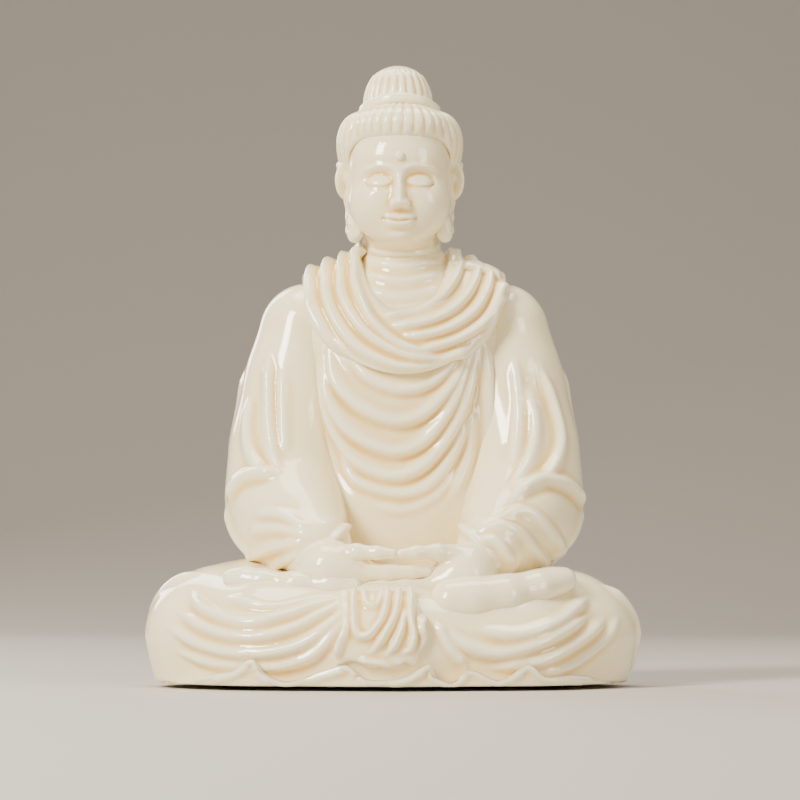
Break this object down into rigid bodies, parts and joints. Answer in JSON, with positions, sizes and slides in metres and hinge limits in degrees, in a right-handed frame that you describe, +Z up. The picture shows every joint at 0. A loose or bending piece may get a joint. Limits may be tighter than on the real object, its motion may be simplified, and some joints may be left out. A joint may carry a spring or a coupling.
{
  "type": "buddha statue",
  "caption": "Seated buddha statue in glossy ivory porcelain, legs crossed under a draped robe, hands resting palm up in the lap, hair drawn up into a banded topknot.",
  "frame": {"origin": "under the middle of the figure, on the surface it stands on (the undersides of the pads)", "axes": "+Z up the figure, which faces -Y; +X is to the viewer's right, the figure's own left side"},
  "size_m": [0.165, 0.1251, 0.215],
  "materials": {
    "ivory_glaze": "glossy clear glaze over an ivory-white porcelain body, warmer where it pools in the folds",
    "unglazed_body": "bare fired porcelain, dry and matt",
    "felt": "short dark grey felt"
  },
  "bodies": {
    "root": {"lap_shell": "ivory_glaze", "base_plate": "unglazed_body", "torso_shell": "ivory_glaze", "right_sleeve": "ivory_glaze", "left_sleeve": "ivory_glaze", "collar_drape": "ivory_glaze", "head_shell": "ivory_glaze", "hair_cap": "ivory_glaze", "forehead_bead": "ivory_glaze", "topknot_band": "ivory_glaze", "topknot": "ivory_glaze", "right_ear": "ivory_glaze", "left_ear": "ivory_glaze", "right_hand": "ivory_glaze", "left_hand": "ivory_glaze", "left_foot": "ivory_glaze", "right_foot": "ivory_glaze", "front_swag": "ivory_glaze", "front_hem": "ivory_glaze", "felt_pad_front_right": "felt", "felt_pad_front_left": "felt", "felt_pad_back_right": "felt", "felt_pad_back_left": "felt"}
  },
  "joints": []
}
